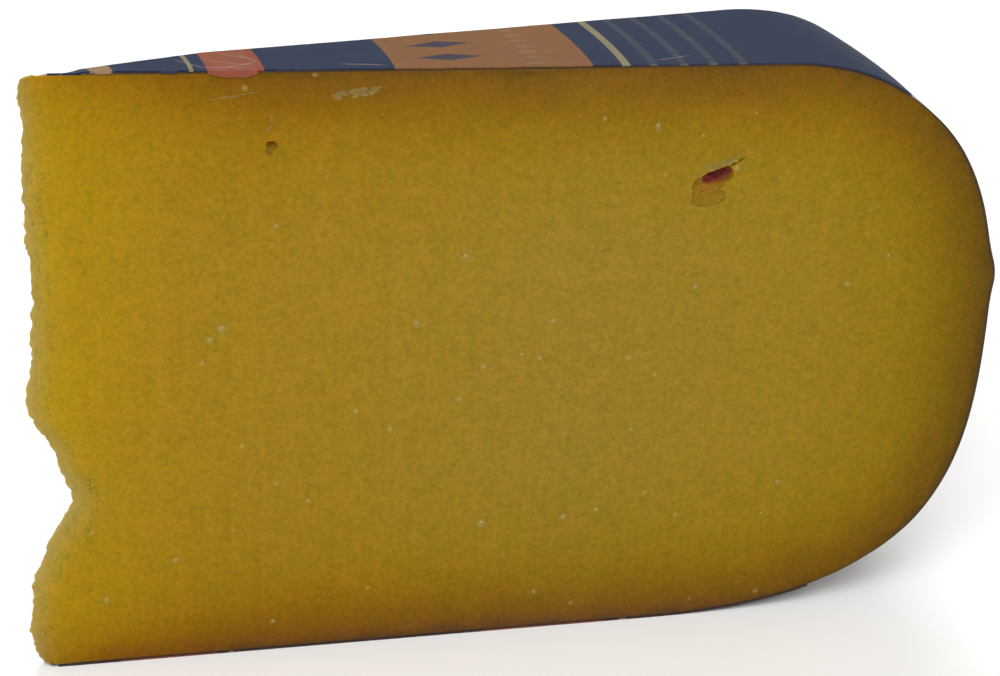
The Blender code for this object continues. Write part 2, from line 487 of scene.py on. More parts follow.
def joined(copies, name):
    """Join copies into one piece with its place in its mesh."""
    bpy.ops.object.select_all(action="DESELECT")
    for copy in copies:
        copy.select_set(True)
    bpy.context.view_layer.objects.active = copies[0]
    bpy.ops.object.transform_apply(location=True, rotation=True, scale=True)
    bpy.ops.object.join()
    piece = bpy.context.object
    piece.name = name
    piece.data.materials.append(cheese_paste)
    return piece


# radius from the axis, height and size of the crystals that stand out, in mm
CRYSTALS = [
    (116, 97, 0.6), (124, 95, 0.35), (84, 75, 0.65), (76, 63, 0.55), (88, 54, 0.6),
    (100, 62, 0.5), (43, 64, 0.75), (41, 62, 0.6), (52, 82, 0.5), (125, 67, 0.5),
    (153, 66, 0.55), (160, 71, 0.4), (114, 54, 0.45), (144, 27, 0.5), (89, 23, 0.85),
    (104, 23, 0.7), (110, 24, 0.45), (58, 30, 0.5), (35, 20, 0.6), (23, 13, 0.7),
    (72, 43, 0.45), (66, 47, 0.5), (84, 48, 0.5), (52, 6, 0.5), (98, 55, 0.4),
]
dice = random.Random(11)
crystals = []
for radius, height, size in CRYSTALS:
    core = size * dice.uniform(0.5, 0.7), 0.12, size * dice.uniform(0.4, 0.6)
    haze = size * dice.uniform(1.2, 1.9), 0.05, size * dice.uniform(1.0, 1.6)
    lean = dice.uniform(0, 180)
    crystals.append(grain_at(radius, height, core, 0.85, lean, model=smooth_grain))
    crystals.append(grain_at(radius, height - 0.2, haze, 0.20, lean, model=smooth_grain))
for number in range(120):
    size = dice.choice([0.14, 0.18, 0.22, 0.3, 0.4])
    radius, height = dice.uniform(24, 168), dice.uniform(8, 100)
    if radius > 150 and not 25 < height < 92:
        continue
    shape = size, 0.06 + 0.1 * size, size * dice.uniform(0.6, 1.0)
    face = dice.choice([0.0, 1.0, 1.0])
    crystals.append(grain_at(radius, height, shape, 0.45, dice.uniform(0, 180), face))
for number in range(30):
    size = dice.uniform(0.35, 0.8)
    radius, height = dice.uniform(20, 162), dice.uniform(10, 96)
    core = size * dice.uniform(0.5, 0.7), 0.12, size * dice.uniform(0.4, 0.6)
    crystals.append(grain_at(radius, height, core, 0.8, dice.uniform(0, 180), 1.0))
print(len(crystals), "grains")
crystals = joined(crystals, "crystals")
note_depths(crystals)
smooth(crystals, 60)
hand_over(crystals)

# %% [markdown]
# A smear is a long low ridge of cheese that the knife dragged along, mostly near the top edge.
# Each is a row of overlapping grains that all lean the same way. The torn lip above the large
# eye, and the crumbly start of its crack, are made in the same way.

# %% Lay the smears and the torn lip
SMEARS = [
    # from (radius, height), to (radius, height), width in mm, grains, paleness, face
    ((41.5, 104.3), (48.9, 105.3), 0.35, 12, 0.30, 0.0),
    ((61.6, 104.2), (68.0, 105.1), 1.4, 30, 0.26, 0.0),
    ((50.7, 98.6), (51.2, 101.0), 0.8, 8, 0.26, 0.0),
    ((69.2, 100.9), (70.4, 100.9), 0.3, 3, 0.45, 0.0),
    ((153.9, 79.2), (157.4, 80.6), 0.4, 8, 0.26, 0.0),
    ((123.2, 87.6), (125.6, 88.7), 0.6, 12, 0.16, 0.0),
    ((125.4, 88.9), (130.2, 90.1), 1.3, 40, 0.17, 0.0),
    ((129.8, 90.7), (133.0, 91.9), 0.6, 10, 0.15, 0.0),
    ((130.2, 88.6), (131.3, 88.3), 0.5, 6, 0.40, 0.0),
    ((122.8, 82.6), (125.0, 81.6), 0.3, 6, 0.16, 0.0),
    ((127.0, 81.8), (129.2, 84.0), 0.4, 8, 0.16, 0.0),
    ((60.3, 103.9), (69.5, 104.6), 0.8, 16, 0.26, 1.0),
    ((118.2, 98.3), (127.4, 99.5), 0.5, 12, 0.24, 1.0),
    ((88.1, 40.2), (94.6, 41.0), 0.4, 8, 0.22, 1.0),
    ((146.3, 60.9), (150.2, 62.1), 0.4, 7, 0.24, 1.0),
]
smears = []
for first, last, width, count, pale, face in SMEARS:
    length = math.dist(first, last)
    lean = math.degrees(math.atan2(last[1] - first[1], last[0] - first[0]))
    for number in range(count):
        share = dice.random()
        radius, height = (low + (high - low) * share for low, high in zip(first, last))
        height += dice.uniform(-0.4, 0.4) * width
        reach = min(length * dice.uniform(0.10, 0.22), 1.1)
        shape = reach, dice.uniform(0.05, 0.16), width * dice.uniform(0.15, 0.35)
        spin = lean + dice.uniform(-14, 14)
        smears.append(grain_at(radius, height, shape, pale, spin, face, smooth_grain))
print(len(smears), "grains in smears")
smears = joined(smears, "smears")
note_depths(smears)
smooth(smears, 60)
hand_over(smears)

# %% [markdown]
# Loose crumbs still cling all over the broken end. Each is dropped onto it along +X, which
# finds the rough surface where the crumb comes to lie.

# %% Scatter crumbs over the broken end
crumbs = []
for number in range(260):
    across = dice.choice([0.04, 0.10, 0.96, dice.random(), dice.random()])
    height = dice.uniform(1.5, cheese_high.z / MM - 2.5) * MM
    size = dice.choice([0.16, 0.2, 0.26, 0.34, 0.5])
    shape = size, size * dice.uniform(0.5, 0.8), size * dice.uniform(0.5, 1.0)
    edge = float(break_radius(height, across))
    drop = float(sinking(edge, across, height))
    source = Vector(placed(edge, across, height - drop))
    spot = dice.uniform(0, 180), dice.uniform(0, 6)
    crumbs.append(grain_on(source, Vector((1, 0, 0)), shape, 0.06, *spot))
crumbs = joined(crumbs, "crumbs")
note_depths(crumbs)
smooth(crumbs, 60)
hand_over(crumbs)
bpy.data.objects.remove(grain)
bpy.data.objects.remove(smooth_grain)

# %% [markdown]
# ## The painted coat on the rind
# Dairies brush a thin plastic coat on the rind to slow its drying. It turns amber brown and
# takes up the weave of the cloth in the mould. It is a sheet that lies on the whole rind, from
# the base round the rim and over the top, and Solidify gives it its thickness outwards. The
# rim took more coats than the flat sides, so a vertex group makes it thickest there. A sheet
# like this is a grid primitive: one side runs along the outline, the other across.

# %% Lay a sheet along the outline
fine_line = along(near_line, np.linspace(0, 1, 2401))


def sheet(name, line, spacing, above):
    """A sheet that follows a line of the section, this far above the rind."""
    columns = round(length_of(line) / spacing)
    bpy.ops.object.select_all(action="DESELECT")
    bpy.ops.mesh.primitive_grid_add(x_subdivisions=columns, y_subdivisions=SPIN_STEPS, size=1)
    made = bpy.context.object
    made.name = name
    flat = points_of(made)
    at = along(line, flat[:, 0] + 0.5)
    move_points(made, placed(at[:, 0], flat[:, 1] + 0.5, at[:, 1]))
    settle(made)
    bpy.ops.object.mode_set(mode="EDIT")
    bpy.ops.mesh.select_all(action="SELECT")
    bpy.ops.mesh.flip_normals()
    bpy.ops.object.mode_set(mode="OBJECT")
    finish_with(made, "DISPLACE", strength=above, mid_level=0.0)
    return made


def tear_ends(piece, reach, ragged):
    """Make a sheet's torn end ragged: its points near the axis move by a noise."""
    radius, across, height = polar(points_of(piece))
    weigh(piece, "tear", np.clip((reach + 3 * MM - radius) / (3 * MM), 0, 1))
    relief(piece, piece.name + "_tear", "CLOUDS", 1.3 * MM, ragged, "tear", "X", middle=0.0)


RIM_COAT = 0.55 * MM
THIN_SHARE = 0.4
painted = (fine_line[:, 0] > near_edge[1][-1] + 8 * MM) | (fine_line[:, 1] < 55 * MM)
coat = sheet("rind_coat", fine_line[painted], 1.2 * MM, 0.02 * MM)
relief(coat, "coat_dents", "CLOUDS", 9 * MM, 0.06 * MM)
tear_ends(coat, 16 * MM, 1.0 * MM)
coat_radius = polar(points_of(coat))[0]
thickest = np.clip((coat_radius - 163 * MM) / (8 * MM), 0, 1)
weigh(coat, "thickness", THIN_SHARE + (1 - THIN_SHARE) * thickest)
finish_with(
    coat, "SOLIDIFY", thickness=RIM_COAT, offset=1.0, vertex_group="thickness",
    use_rim=True,
)
smooth(coat, 40)
hand_over(coat)

# %% [markdown]
# ## The paper labels
# A round label was glued to the wheel's top and another to its base, and the knife cut both
# with the cheese. The paper is a sheet on the outline too, held just off the coat. The glue
# and the domed cheese make it cockle a little, and where it bends over the shoulder it has to
# pucker, because a flat disc can't lie on a surface that curves both ways. The puckers are
# waves round the axis that grow towards the label's edge.

# %% Lay the two labels
PAPER_THICKNESS = 0.28 * MM
TOP_LABEL_REACH = 160.5 * MM
BASE_LABEL_REACH = 152 * MM
MIDDLE_HEIGHT = 55 * MM
near_top, near_base = near_edge[1][-1], near_edge[1][0]

is_top = (fine_line[:, 1] > MIDDLE_HEIGHT) & (fine_line[:, 0] < TOP_LABEL_REACH)
is_top &= fine_line[:, 0] > near_top + 2.1 * MM
is_base = (fine_line[:, 1] < MIDDLE_HEIGHT) & (fine_line[:, 0] < BASE_LABEL_REACH)
is_base &= fine_line[:, 0] > near_base + 1.2 * MM
label_top = sheet("label_top_paper", fine_line[is_top], 0.8 * MM, 0.27 * MM)
label_base = sheet("label_base_paper", fine_line[is_base], 0.9 * MM, 0.41 * MM)


def hang_shreds(label, spans):
    """Fold shreds of a label over the near edge; spans are (from, to, longest) in mm."""
    for low, high, longest in spans:
        only(label)
        radius, across, height = polar(points_of(label))
        inside = (across < 0.02) & (radius > low * MM) & (radius < high * MM)
        bpy.ops.object.mode_set(mode="EDIT")
        bpy.ops.mesh.select_mode(type="VERT")
        bpy.ops.mesh.select_all(action="DESELECT")
        bpy.ops.object.mode_set(mode="OBJECT")
        label.data.vertices.foreach_set("select", inside)
        bpy.ops.object.mode_set(mode="EDIT")
        bpy.ops.mesh.select_mode(type="EDGE")
        bpy.ops.mesh.extrude_edges_move(
            TRANSFORM_OT_translate={"value": (0, -0.06 * MM, -0.15 * MM)},
        )
        bpy.ops.object.mode_set(mode="OBJECT")
        chosen = np.empty(len(label.data.vertices), dtype=bool)
        label.data.vertices.foreach_get("select", chosen)
        points = points_of(label)
        chosen = np.flatnonzero(chosen)
        chosen = chosen[np.argsort(points[chosen, 0])]
        hang = np.array([dice.random() ** 2 for index in chosen])
        points[chosen, 2] -= longest * MM * np.convolve(hang, [0.3, 0.4, 0.3], mode="same")
        points[chosen, 1] -= 0.04 * MM * hang
        move_points(label, points)
    only(label)
    bpy.ops.object.mode_set(mode="EDIT")
    bpy.ops.mesh.select_all(action="SELECT")
    bpy.ops.mesh.normals_make_consistent(inside=False)
    upward = sum(face.normal.z for face in label.data.polygons)
    if upward < 0:
        bpy.ops.mesh.flip_normals()
    bpy.ops.object.mode_set(mode="OBJECT")


PUCKER_START = 138 * MM
radius, across, height = polar(points_of(label_top))
loose = np.clip((radius - near_top - 8 * MM) / (6 * MM), 0, 1)
loose *= np.clip((TOP_LABEL_REACH - radius) / (8 * MM), 0, 1)
weigh(label_top, "loose", loose)
growth = np.clip((radius - PUCKER_START) / (TOP_LABEL_REACH - PUCKER_START), 0, 1) ** 2
wave = np.sin(2 * math.pi * (4.3 * across + 0.6 * np.sin(3 * across)))
radius = radius + loose * growth * (wave + 1) * 0.05 * MM
height = height + loose * growth * (wave + 1) * 0.05 * MM
move_points(label_top, placed(radius, across, height))
weigh(label_top, "cut_edge", (np.abs(across - 0.5) > 0.49).astype(float))
relief(label_top, "cockles", "CLOUDS", 14 * MM, 0.16 * MM, "loose", middle=0.2)
relief(label_top, "frayed", "CLOUDS", 0.9 * MM, 0.16 * MM, "cut_edge", "Y")
points = points_of(label_top)
points[:, 2] -= 0.24 * MM * np.clip((near_top + 8.2 * MM - polar(points)[0]) / MM, 0, 1)
move_points(label_top, points)
tear_ends(label_top, near_top + 2.5 * MM, 1.7 * MM)
tear_ends(label_base, near_base + 1 * MM, 1.4 * MM)
hang_shreds(label_top, [(22.6, 26.0, 0.4), (33.0, 36.5, 0.3), (40.4, 49.4, 1.1)])
for label, node in ((label_top, "label_top"), (label_base, "label_base")):
    finish_with(label, "SOLIDIFY", thickness=PAPER_THICKNESS, offset=1.0)
    points = points_of(label)
    points[:, 2] = np.maximum(points[:, 2], 0)
    move_points(label, points)
    smooth(label, 40)
    hand_over(label, node)
    low, high = points.min(0), points.max(0)
    print("   mm:", np.round(low / MM, 2), "to", np.round(high / MM, 2))

# %% [markdown]
# # Finishes
# Every material is a set of sums on the piece's own coordinates. Written as nodes they would
# be hard to read, so one small class wraps an output socket and turns Python's operators into
# Math nodes, and one method adds any other node.

# %% A socket that can be used in sums
class Signal:
    """An output of a node in one material, with operators that add Math nodes."""

    def __init__(self, tree, socket=None):
        self.tree = tree
        self.socket = socket

    def node(self, kind, settings=None, values=None, output=0):
        """Add a node: its type, its settings, and the values or links of its sockets."""
        made = self.tree.nodes.new("ShaderNode" + kind)
        for name, setting in (settings or {}).items():
            if name == "stops":
                stops = made.color_ramp.elements
                for place, colour in setting[2:]:
                    stops.new(place)
                for stop, (place, colour) in zip(stops, sorted(setting)):
                    stop.position = place
                    stop.color = (*colour, 1)
            elif name == "steps":
                made.color_ramp.interpolation = setting
            else:
                setattr(made, name, setting)
        for key, value in (values or {}).items():
            if isinstance(value, Signal):
                self.tree.links.new(value.socket, made.inputs[key])
            else:
                made.inputs[key].default_value = value
        return Signal(self.tree, made.outputs[output])

    def math(self, operation, *values):
        """A Math node on these values, in their order."""
        return self.node("Math", {"operation": operation}, dict(enumerate(values)))

    def __add__(self, other):
        return self.math("ADD", self, other)

    __radd__ = __add__

    def __sub__(self, other):
        return self.math("SUBTRACT", self, other)

    def __rsub__(self, other):
        return self.math("SUBTRACT", other, self)

    def __mul__(self, other):
        return self.math("MULTIPLY", self, other)

    __rmul__ = __mul__

    def __truediv__(self, other):
        return self.math("DIVIDE", self, other)

    def __rtruediv__(self, other):
        return self.math("DIVIDE", other, self)

    def __abs__(self):
        return self.math("ABSOLUTE", self)

    def between(self, low, high):
        """0 at low, 1 at high, and a straight line between them; low may be the larger."""
        values = {"Value": self, "From Min": low, "From Max": high}
        return self.node("MapRange", {"clamp": True}, values)


def open_material(material):
    """Clear a material and return its start for sums, and its Principled shader."""
    material.use_nodes = True
    tree = material.node_tree
    tree.nodes.clear()
    end = tree.nodes.new("ShaderNodeOutputMaterial")
    shader = tree.nodes.new("ShaderNodeBsdfPrincipled")
    tree.links.new(shader.outputs["BSDF"], end.inputs["Surface"])
    return Signal(tree), shader


def set_finish(shader, constants, varying):
    """Set a shader's constant sockets, and link the ones that vary over the surface."""
    for name, value in constants.items():
        shader.inputs[name].default_value = value
    for name, signal in varying.items():
        signal.tree.links.new(signal.socket, shader.inputs[name])


def place_of(start):
    """Object coordinates in metres."""
    return start.node("TexCoord", output="Object")


def noise(start, place, size, detail=2.0, roughness=0.5, stretch=(1, 1, 1)):
    """Soft noise from 0 to 1; size is its grain in metres, stretch lengthens it."""
    scale = [1 / (size * reach) for reach in stretch]
    scaled = start.node("Mapping", None, {"Vector": place, "Scale": scale})
    values = {"Vector": scaled, "Scale": 1.0, "Detail": detail, "Roughness": roughness}
    return start.node("TexNoise", None, values)


def blend(start, share, first, second, how="MIX"):
    """Mix two colours by a share from 0 to 1."""
    settings = {"data_type": "RGBA", "blend_type": how}
    first, second = (
        colour if isinstance(colour, Signal) else (*colour, 1) for colour in (first, second)
    )
    return start.node("Mix", settings, {0: share, 6: first, 7: second}, output=2)


def bump(start, relief_height, depth, under=None):
    """A normal from a height that runs from 0 to 1 and stands for this depth in metres."""
    values = {"Height": relief_height, "Distance": depth, "Strength": 1.0}
    if under:
        values["Normal"] = under
    return start.node("Bump", None, values)


print("shader helpers ready")

# %% [markdown]
# ## The paste of the cheese
# Close under the rind the paste is dry, dark and reddish, and over some 20 mm it clears to
# gold. Towards the tip, the heart of the wheel, it turns a brighter yellow: partly the paste's
# own colour, partly painted light that stands for light shining through the thin tip. The same
# ramp also paints a faint sheen on the middle of the face and some shade towards the rim. The
# freshly broken edge is paler still, partly because its rough surface scatters light and partly
# by painted light that lifts a surface turned away from the key light. Fat and protein let
# light sink in, so the shader has subsurface scattering, deepest in red.
#
# Two colour ramps give the broad colours, one by distance from the axis and one by depth
# below the rind. Fine mottling, faint streaks that the knife left and pale specks lie on top.

# %% Mix the paste
def by_length(start, signal, longest, stops):
    """A colour ramp over a length in mm, with stops at lengths in mm."""
    stops = [(place / longest, colour) for place, colour in stops]
    return start.node("ValToRGB", {"stops": stops}, {0: signal / longest})


def axis_distance(start, place):
    """Distance from the wheel's axis in mm, as the labels' rings follow it."""
    shifted = start.node("VectorMath", {"operation": "SUBTRACT"}, {0: place, 1: (AXIS_X, 0, 0)})
    flat = start.node("VectorMath", {"operation": "MULTIPLY"}, {0: shifted, 1: (1, 1, 0)})
    return start.node("VectorMath", {"operation": "LENGTH"}, {0: flat}, output="Value") / MM


def attribute(start, name):
    """A number stored on the mesh."""
    return start.node("Attribute", {"attribute_name": name}, output="Fac")


start, shader = open_material(cheese_paste)
place = place_of(start)
radius = axis_distance(start, place)
rind = attribute(start, "rind_depth")
broken = attribute(start, "broken")
crystal = attribute(start, "crystal")
patches = noise(start, place, 9 * MM, 3.0)
level = start.node("SeparateXYZ", None, {0: place}, output="Z") / MM
rind_uneven = rind + (patches - 0.5) * 5 + radius.between(48, 14) * (5 + level.between(0, 40) * 4)

# ramp by distance from the axis: the paste's own tone, plus painted light towards the thin tip, a
# painted sheen in the middle of the face and painted shade towards the rim
heart_and_painted_light = by_length(start, radius + (patches - 0.5) * 16, 180, [
    (10, (0.335, 0.210, 0.004)), (22, (0.296, 0.179, 0.005)), (40, (0.269, 0.158, 0.007)),
    (75, (0.257, 0.156, 0.012)), (105, (0.246, 0.156, 0.016)), (140, (0.245, 0.152, 0.011)),
    (160, (0.232, 0.145, 0.009)), (179, (0.200, 0.141, 0.009)),
])
rind_tint = by_length(start, rind_uneven, 36, [
    (0, (0.44, 0.35, 0.46)), (1.5, (0.58, 0.44, 0.36)), (3, (0.635, 0.48, 0.32)),
    (5, (0.685, 0.55, 0.285)), (7, (0.765, 0.635, 0.295)), (10, (0.85, 0.758, 0.35)),
    (13, (0.905, 0.84, 0.41)), (18, (0.958, 0.93, 0.58)), (26, (0.985, 0.97, 0.815)),
    (34, (1.0, 1.0, 1.0)),
])
paste = blend(start, 1.0, heart_and_painted_light, rind_tint, "MULTIPLY")
# painted shade: the lowest few mm of the face are darkened where it meets the floor
painted_foot_shade = level.between(4.5, 0.8) * radius.between(14, 24)
paste = blend(start, painted_foot_shade, paste, (0.92, 0.78, 2.2), "MULTIPLY")

fine = noise(start, place, 0.8 * MM, 3.0, 0.65)
mottle = noise(start, place, 2.4 * MM, 4.0, 0.65)
streaks = noise(start, place, 1.3 * MM, 2.0, 0.5, stretch=(1, 1, 40))
warm = blend(start, mottle.between(0.40, 0.62), (0.97, 1.01, 0.86), (1.03, 0.975, 1.06))
paste = blend(start, 1.0, paste, warm, "MULTIPLY")
lightness = 1 + (fine - 0.5) * 0.70 + (mottle - 0.5) * 0.30 + (streaks - 0.5) * 0.12
grey = start.node("CombineColor", None, {0: lightness, 1: lightness, 2: lightness})
paste = blend(start, 1.0, paste, grey, "MULTIPLY")

drift = start.node("TexNoise", None, {"Vector": place, "Scale": 1 / (1.2 * MM)}, "Color")
drift = start.node("VectorMath", {"operation": "SCALE"}, {0: drift, "Scale": 0.8 * MM})
spot = start.node("VectorMath", {"operation": "ADD"}, {0: place, 1: drift})
specks = start.node("TexVoronoi", None, {"Vector": spot, "Scale": 1 / (6 * MM)})
cell = start.node("TexVoronoi", None, {"Vector": spot, "Scale": 1 / (6 * MM)}, "Color")
chosen = start.node("SeparateColor", None, {0: cell}).between(0.60, 0.64)
speck = specks.between(0.10, 0.03) * chosen
PALE = (0.55, 0.43, 0.155)
# the broken end's fringe is paler: partly the dry, rough paste, partly painted light that lifts a
# surface turned away from the key light
PALE_LIT_FRINGE = (0.295, 0.258, 0.090)
pale_lit_fringe = broken * (0.7 + (fine - 0.5) * 0.8 + mottle * 0.3)
paste = blend(start, pale_lit_fringe, paste, PALE_LIT_FRINGE)
paste = blend(start, start.math("MAXIMUM", speck * 0.26, crystal), paste, PALE)

waxy = 0.40 + (mottle - 0.5) * 0.16 + pale_lit_fringe * 0.25 + crystal * 0.2
surface = fine * 0.45 + streaks * 0.1 + mottle * 0.45
set_finish(
    shader,
    {
        "Subsurface Weight": 0.35, "Subsurface Radius": (1.0, 0.5, 0.14),
        "Subsurface Scale": 3.0 * MM, "IOR": 1.45, "Specular IOR Level": 0.05,
    },
    {"Base Color": paste, "Roughness": waxy, "Normal": bump(start, surface, 0.09 * MM)},
)
print("paste:", len(cheese_paste.node_tree.nodes), "nodes")

# %% [markdown]
# The wall of an eye lies in shade, and light that bounces inside it turns red. That shade is
# painted into its colour: darker and much redder, deepest at the back. The wall is also
# smoother than the cut face. How deep a point lies behind the near cut face tells the shallow
# lobe, which is still tan, from the dark hollow.

# %% Paint shade into the eyes
start, shader = open_material(eye_wall_shade)
place = place_of(start)
facing = (math.sin(WEDGE_ANGLE / 2), math.cos(WEDGE_ANGLE / 2), 0)
shifted = start.node("VectorMath", {"operation": "SUBTRACT"}, {0: place, 1: (AXIS_X, 0, 0)})
behind = start.node(
    "VectorMath", {"operation": "DOT_PRODUCT"}, {0: shifted, 1: facing}, output="Value",
) / MM
cloud = noise(start, place, 0.8 * MM, 3.0)
# painted shade: the eye's wall darkens and reddens with depth behind the near face
wall_colour_and_shade = by_length(start, behind + (cloud - 0.5) * 0.4, 4, [
    (0.02, (0.24, 0.150, 0.010)), (0.18, (0.20, 0.120, 0.006)), (0.45, (0.205, 0.118, 0.006)),
    (0.75, (0.22, 0.122, 0.007)), (1.1, (0.235, 0.092, 0.010)), (1.6, (0.23, 0.055, 0.028)),
    (4, (0.23, 0.040, 0.042)),
])
set_finish(
    shader,
    {"Subsurface Weight": 0.2, "Subsurface Radius": (1.0, 0.4, 0.1),
     "Subsurface Scale": 1.5 * MM, "Specular IOR Level": 0.06},
    {"Base Color": wall_colour_and_shade, "Roughness": 0.34 + cloud * 0.16,
     "Normal": bump(start, cloud, 0.08 * MM)},
)
print("eye wall:", len(eye_wall_shade.node_tree.nodes), "nodes")

# %% [markdown]
# ## The coat
# The coat is a brushed plastic film: amber brown, half glossy, darker where it ran down in
# drips, and rubbed lighter in places and along the ridge that the mould left. The cloth in the
# mould pressed its weave into it, as two sets of fine waves. One follows the height plus the
# distance from the axis, which grow together round the shoulder, and the other goes across.
# Along the cuts the film is dark and dull.

# %% Finish the coat
coat_film = bpy.data.materials.new("coat_film")
coat.data.materials.append(coat_film)
CLOTH_PITCH = 1.3
ridge = near_line[np.argmax(near_line[:, 0]), 1] / MM
start, shader = open_material(coat_film)
place = place_of(start)
radius = axis_distance(start, place)
cloth_scale = 2 * math.pi / CLOTH_PITCH
height_mm = start.node("SeparateXYZ", None, {0: place}, output="Z") / MM
side_mm = start.node("SeparateXYZ", None, {0: place}, output="Y") / MM
weft = start.math("SINE", (height_mm + radius) * cloth_scale)
warp = start.math("SINE", side_mm * cloth_scale)
weave = (weft * warp).between(-1, 1)
smudge = noise(start, place, 12 * MM, 4.0, 0.6)
scuff = noise(start, place, 2.2 * MM, 5.0, 0.7)
drips = noise(start, place, 3 * MM, 3.0, 0.5, stretch=(1, 1, 9))
film = blend(start, smudge.between(0.35, 0.65), (0.075, 0.033, 0.010), (0.15, 0.072, 0.018))
film = blend(start, drips.between(0.50, 0.72) * 0.5, film, (0.050, 0.021, 0.007))
film = blend(start, scuff.between(0.58, 0.74) * 0.5, film, (0.24, 0.15, 0.055))
film = blend(start, weave.between(0.5, 0.9) * 0.35, film, (0.035, 0.016, 0.006))
crest = abs(height_mm - ridge).between(1.6, 0.2)
film = blend(start, crest * scuff.between(0.40, 0.60) * 0.7, film, (0.26, 0.17, 0.070))
cut = abs(start.math("ARCTAN2", side_mm, radius) / WEDGE_ANGLE).between(0.486, 0.498)
film = blend(start, cut * 0.9, film, (0.045, 0.022, 0.009))
set_finish(
    shader,
    {"Coat Roughness": 0.22, "Specular IOR Level": 0.2},
    {"Base Color": film, "Roughness": 0.5 + (scuff - 0.5) * 0.3 + cut * 0.3,
     "Coat Weight": (1 - cut) * (0.25 + smudge * 0.3),
     "Normal": bump(start, weave * 0.4 + scuff * 0.35 + drips * 0.25, 0.22 * MM)},
)
print("coat:", len(coat_film.node_tree.nodes), "nodes")

# %% [markdown]
# ## The printed paper
# The wheel's label is printed in rings round the axis: fields of dark blue, coral and burnt
# orange, thin lines of gold and cream, and small plain ornaments. A colour ramp with hard
# steps, read by the distance from the axis, prints the rings. Where the paper is torn at the
# tip and along its cut edges its white core shows, and the ink is rubbed thin here and there.

# %% Print the top label
NAVY = (0.007, 0.016, 0.045)
CREAM = (0.24, 0.14, 0.060)
GOLD = (0.19, 0.165, 0.090)
CORAL = (0.21, 0.045, 0.020)
ORANGE = (0.175, 0.072, 0.018)
PAPER = (0.32, 0.28, 0.21)


def rings(start, radius, longest, stops):
    """Hard-edged rings of colour, each from its radius in mm outwards."""
    stops = [(place / longest, colour) for place, colour in stops]
    return start.node("ValToRGB", {"stops": stops, "steps": "CONSTANT"}, {0: radius / longest})


def ornaments(start, radius, angle, middle, reach, count):
    """A ring of lozenges: 1 inside them; reach is half their length along the radius."""
    cell = start.math("PINGPONG", angle * count, 0.5) * 4
    return (abs(radius - middle) / reach + cell).between(1.08, 0.92)


# the middle's distance from the axis and sideways place in mm, lean in degrees, length in mm
SCRATCHES = [
    (38.4, -0.6, -52, 7.0), (44.6, -1.2, -24, 9.0), (45.8, -2.6, 18, 7.5), (43.9, -3.2, -7, 8.5),
    (48.3, 0.4, -58, 6.0), (46.6, 1.6, -34, 6.5), (66.0, -4.9, -12, 8.0), (118.5, -9.0, 14, 7.0),
]


def scratch(start, outwards, sideways, lean, length):
    """1 on a thin line through the origin of these two distances, 0 away from it."""
    along, off = math.cos(math.radians(lean)), math.sin(math.radians(lean))
    reach = abs(outwards * along + sideways * off)
    away = abs(sideways * along - outwards * off)
    return away.between(0.17, 0.07) * reach.between(length / 2, length / 2 - 1.5)


def printed(material, ink_of, torn_radius, edge_paper):
    """Paper with an ink layer, a torn end and worn ink."""
    start, shader = open_material(material)
    place = place_of(start)
    fibres = noise(start, place, 0.35 * MM, 4.0, 0.7)
    wear = noise(start, place, 4 * MM, 6.0, 0.75)
    radius = axis_distance(start, place)
    x = start.node("SeparateXYZ", None, {0: place}, output="X") - AXIS_X
    y = start.node("SeparateXYZ", None, {0: place}, output="Y")
    turn = start.math("ARCTAN2", y, x) / WEDGE_ANGLE
    ink = ink_of(start, radius + (fibres - 0.5) * 0.25, turn)
    ink = blend(start, wear.between(0.35, 0.75) * 0.25, ink, (0.05, 0.055, 0.065))
    rubbed = wear.between(0.66, 0.80) * fibres.between(0.35, 0.65) * 0.4
    torn = (radius + (wear - 0.5) * 5).between(torn_radius + 1.1, torn_radius + 0.7)
    edge = abs(turn).between(0.4975, 0.4995) * edge_paper
    bare = start.math("MAXIMUM", start.math("MAXIMUM", rubbed, torn), edge)
    colour = blend(start, bare, ink, PAPER)
    surface = fibres * 0.3 + wear * 0.7
    set_finish(
        shader, {"Specular IOR Level": 0.06},
        {"Base Color": colour, "Roughness": 0.5 + (wear - 0.5) * 0.2 + bare * 0.25,
         "Normal": bump(start, surface, 0.06 * MM)},
    )
    print(material.name, len(material.node_tree.nodes), "nodes")


def top_ink(start, radius, turn):
    """The top label's rings, ornaments and fine strokes."""
    ink = rings(start, radius, 180, [
        (0, NAVY), (21.9, CREAM), (25.8, NAVY), (37.4, GOLD), (38.2, NAVY), (40.2, CORAL),
        (49.5, NAVY), (71, ORANGE), (104, NAVY), (108.6, GOLD), (110.2, NAVY),
    ])
    rays = start.math("PINGPONG", turn * 17, 0.5).between(0.36, 0.44)
    rays = rays * radius.between(40.9, 41.2) * radius.between(48.9, 48.6)
    ink = blend(start, rays * 0.55, ink, CREAM)
    lozenges = ornaments(start, radius, turn + 0.21, 81, 5.6, 2.6)
    ink = blend(start, lozenges * 0.85, ink, NAVY)
    small = ornaments(start, radius, turn, 95, 2.0, 7.0)
    ink = blend(start, small * 0.7, ink, (0.22, 0.11, 0.045))
    row = start.math("PINGPONG", radius / 5.2, 0.5).between(0.16, 0.10)
    stroke = start.math("PINGPONG", turn * 23, 0.5).between(0.30, 0.36)
    strokes = row * stroke * radius.between(112, 112.4) * radius.between(131.8, 131.4)
    ink = blend(start, strokes * 0.4, ink, GOLD)
    for middle, side, lean, length in SCRATCHES:
        line = scratch(start, radius - middle, turn * radius * WEDGE_ANGLE - side, lean, length)
        ink = blend(start, line * 0.6, ink, (0.30, 0.21, 0.15))
    return ink


top_paper = bpy.data.materials.new("top_paper")
label_top.data.materials.append(top_paper)
printed(top_paper, top_ink, (near_top + 1.8 * MM) / MM, 0.04)

# %% [markdown]
# The base's label is plainer: broad dark and brick-red rings.

